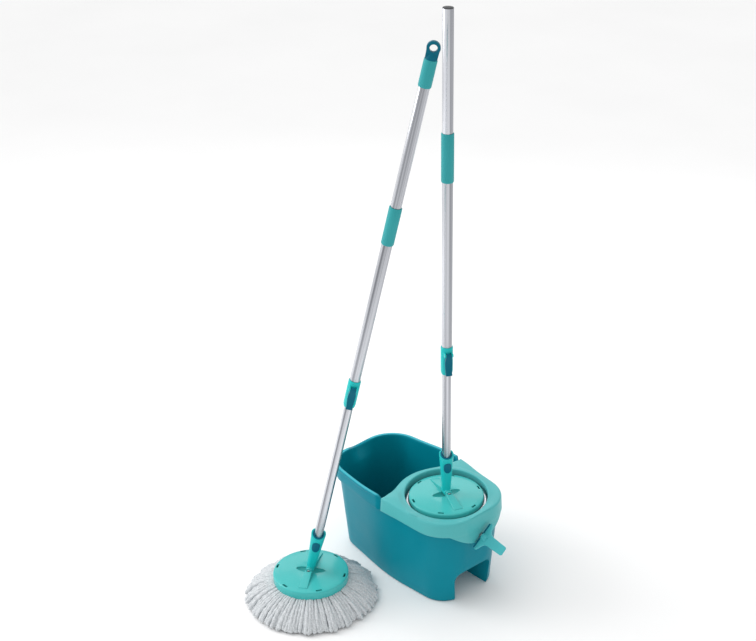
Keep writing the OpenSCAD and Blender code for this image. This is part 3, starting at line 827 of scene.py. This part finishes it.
def spreadPath(angle, lift, reach, radius):
    # out from under the disc, over the dome and down to the floor
    dome = yarnShape["dome"]
    start, end = dome[0][0], dome[-1][0]
    grow = (reach - start) / (end - start)
    phase, sway, bump = dice.uniform(0, 6), dice.uniform(0.3, 1.0) * 0.022, dice.uniform(-0.0012, 0.0012)
    points = []
    for k, (r, z) in enumerate(dome):
        f = k / (len(dome) - 1)
        a = angle + sway * math.sin(phase + f * 4.2) * f
        out = start + (r - start) * grow
        up = max((1 + yarnShape["lobe"]) * radius, z + lift * (1 - 0.6 * f) + bump * math.sin(phase + f * 7))
        points.append((out * math.cos(a), out * math.sin(a), up))
    return points


def buildSpreadFringe():
    bits = []
    for count, lift, reach, radius in yarnShape["spread"]:
        shift = dice.random()
        for i in range(count):
            angle = math.tau * (i + shift + dice.uniform(-0.22, 0.22)) / count
            rad = radius * dice.uniform(0.9, 1.12) * mm
            path = spreadPath(angle, lift, reach + dice.uniform(-0.007, 0.0035), rad)
            bits.append(laidYarn(path, np.array(yarnShape["taper"]) * rad))
    fringe = joinPieces(bits[0], bits[1:])
    fringe.name = "mopFringe-b"
    at = pinCentres["b"]
    placed(fringe, Matrix.Translation((at.x, at.y, 0)))
    smooth(fringe, 60)
    return dress(fringe, "yarn", "mop_b_head", "mop_b_fringe")


def buildHungFringe():
    at = pinCentres["a"]
    top = at.z - (headShape["pinHeight"] + headShape["skirt"] - 4) * mm
    bits = []
    for count, reach, radius in yarnShape["hang"]:
        for i in range(count):
            angle = math.tau * (i + dice.uniform(-0.2, 0.2)) / count
            rad = radius * dice.uniform(0.9, 1.05) * mm
            path = []
            for k in range(8):
                f = k / 7
                r = reach - 0.006 * f * f - 0.012 * max(0, f - 0.75) * 4 + 0.001 * math.sin(5 * f + angle * 9)
                a = angle + 0.04 * f
                path.append((r * math.cos(a), r * math.sin(a), top - yarnShape["hangTall"] * f))
            bits.append(laidYarn(path, [rad] * 8))
    fringe = joinPieces(bits[0], bits[1:])
    fringe.name = "mopFringe-a"
    placed(fringe, Matrix.Translation((at.x, at.y, 0)))
    smooth(fringe, 60)
    return dress(fringe, "yarn", "mop_a_head", "mop_a_fringe")


buildSpreadFringe()
buildHungFringe()
bpy.data.objects.remove(pattern, do_unlink=True)
print("fringes built")


# clamp levers on the collars: the side outline cut to a rounded front outline

clampShape = {
    "half": 6.2,          # half width at the pin, between the collar's ears
    "front": [(2.9, -49), (6, -48), (7.4, -45.5), (6.7, -42.5), (6.9, -38), (7.9, -28), (8.1, -19),
              (7.6, -11), (6.6, -6.5)],
    "side": [(-4.2, 0), (-4.4, -18), (-4.4, -34), (-3.4, -42), (0.6, -46.6), (5, -48), (5.4, -46),
             (3.4, -38.5), (1.2, -28), (1.8, -14), (4.4, -3)],
    "eyeR": 4.2,          # around the pin, seen from the side
    "headDrop": 1.8,
    "edge": 1.3,
}


def prism(name, outline, along, low, high):
    # a flat outline drawn out from low to high along X or Y
    rings = [[Vector((d, a, b) if along == "X" else (a, d, b)) * mm for a, b in outline]
             for d in (low, high)]
    return ringLoft(name, rings, closeStart=True, closeEnd=True)


def buildClamp(n):
    s = clampShape
    eye = [(s["eyeR"] * math.cos(a), s["eyeR"] * math.sin(a)) for a in np.radians(range(10, 171, 16))]
    body = prism("mopClamp-" + n, s["side"] + eye, "Y", -12, 12)
    crown = [(s["half"] * math.cos(a), s["half"] * math.sin(a) - s["headDrop"])
             for a in np.radians(range(0, 91, 15))]
    right = s["front"] + crown
    front = right + [(-y, z) for y, z in reversed(right[:-1])]
    cutWith(body, prism("front", front, "X", -9, 9), "INTERSECT")
    tidyMesh(body)
    roundEdges(body, s["edge"] * mm, 3, 40)
    smooth(body, 50)
    up = Vector(joints["mop_" + n + "_telescope"]["axis"]).normalized()
    side = -Vector(joints["mop_" + n + "_clamp_turn"]["axis"]).normalized()
    turn = Matrix((side.cross(up), side, up)).transposed().to_4x4()
    placed(body, Matrix.Translation(Vector(joints["mop_" + n + "_clamp_turn"]["pos_m"])) @ turn)
    return dress(body, "dark_plastic", "mop_" + n + "_clamp", "mop_" + n + "_clamp_lever")


for n in "ab":
    buildClamp(n)
print("clamp levers built")


# every other node: its own shape, merged, its edges rounded

def refined(node, bevel=0.0005, angle=34, segments=2):
    source = frame["nodes"][node]
    obj = bpy.data.objects.new(node.replace("_", "-") + "-part", source.data.copy())
    bpy.context.scene.collection.objects.link(obj)
    startEdit(obj)
    bpy.ops.mesh.remove_doubles(threshold=0.00001)
    bpy.ops.mesh.dissolve_limited(angle_limit=math.radians(1))
    endEdit()
    if bevel:
        roundEdges(obj, bevel, segments, 40)
    smooth(obj, angle)
    return dress(obj, slotOf[node], bodyOf[node], node)


leverRoll = 45        # the lock lever stands turned by this at rest
built = ["bucket_tub", "spin_insert", "mop_a_disc", "mop_b_disc", "mop_a_fringe", "mop_b_fringe",
         "mop_a_clamp_lever", "mop_b_clamp_lever"]
for node in frame["nodes"]:
    if node not in built:
        refined(node, 0.0003 if "tube" in node else 0.0005)
# painted shade: a thin dark plate behind the lock lever's bar, standing in for the shadow in the gap between bar
# and apron
gapShadePlate = slab("leverGapShade", (0.6, -32, -4), (3.6, 32, 4), 1.2)
lean = Vector(joints["lock_lever_turn"]["axis"]).normalized()
placed(gapShadePlate, Matrix.Translation(Vector(joints["lock_lever_turn"]["pos_m"])) @
       lean.to_track_quat("X", "Z").to_matrix().to_4x4() @ Matrix.Rotation(math.radians(leverRoll), 4, "X"))
smooth(gapShadePlate)
dress(gapShadePlate, "dark_plastic", "lock_lever")
print("nodes refined")


# floor, light and camera

studio = {
    "cameraAt": (2.31238, -2.09989, 2.19349),
    "pitch": 26.615,
    "azimuth": 47.0975,
    "lens": 76.19,
    "shiftX": -0.07425,
}


def softLight(name, at, size, power):
    data = bpy.data.lights.new(name, "AREA")
    data.energy = power
    data.shape = "RECTANGLE"
    data.size, data.size_y = size
    lamp = bpy.data.objects.new(name, data)
    bpy.context.scene.collection.objects.link(lamp)
    lamp.location = at
    lamp.rotation_euler = (Vector((0, -0.1, 0.4)) - Vector(at)).to_track_quat("-Z", "Y").to_euler()


bpy.ops.mesh.primitive_plane_add(size=30)
floor = bpy.context.active_object
floor.name = "floor"
paper = Finish("floorPaper")
paper.colour(paper.noise(2, 2), (0.93, 0.93, 0.93, 1), (0.95, 0.95, 0.95, 1))
paper.put("Roughness", 0.9)
floor.data.materials.append(paper.mat)

world = bpy.data.worlds.new("studioSky")
bpy.context.scene.world = world
world.use_nodes = True
world.node_tree.nodes["Background"].inputs["Color"].default_value = (1, 1, 1, 1)
world.node_tree.nodes["Background"].inputs["Strength"].default_value = 0.8
softLight("keyLeft", (-1.7, -1.3, 1.5), (1.2, 1.2), 20)
softLight("backTop", (-1.5, 1.6, 1.5), (3.0, 0.5), 7)
sun = bpy.data.lights.new("wideSun", "SUN")
sun.energy = 0.75
sun.angle = math.radians(70)
sunLamp = bpy.data.objects.new("wideSun", sun)
bpy.context.scene.collection.objects.link(sunLamp)
sunLamp.rotation_euler = Vector((-0.75, -0.35, 1.15)).to_track_quat("Z", "Y").to_euler()

bpy.ops.object.camera_add(location=studio["cameraAt"])
camera = bpy.context.active_object
turn, pitch = math.radians(studio["azimuth"]), math.radians(studio["pitch"])
back = Vector((math.sin(turn) * math.cos(pitch), -math.cos(turn) * math.cos(pitch), math.sin(pitch)))
camera.rotation_euler = back.to_track_quat("Z", "Y").to_euler()
camera.data.lens = studio["lens"]
camera.data.sensor_width = 36
camera.data.shift_x = studio["shiftX"]
camera.data.clip_end = 100
bpy.context.scene.camera = camera
bpy.context.scene.view_settings.view_transform = "Standard"
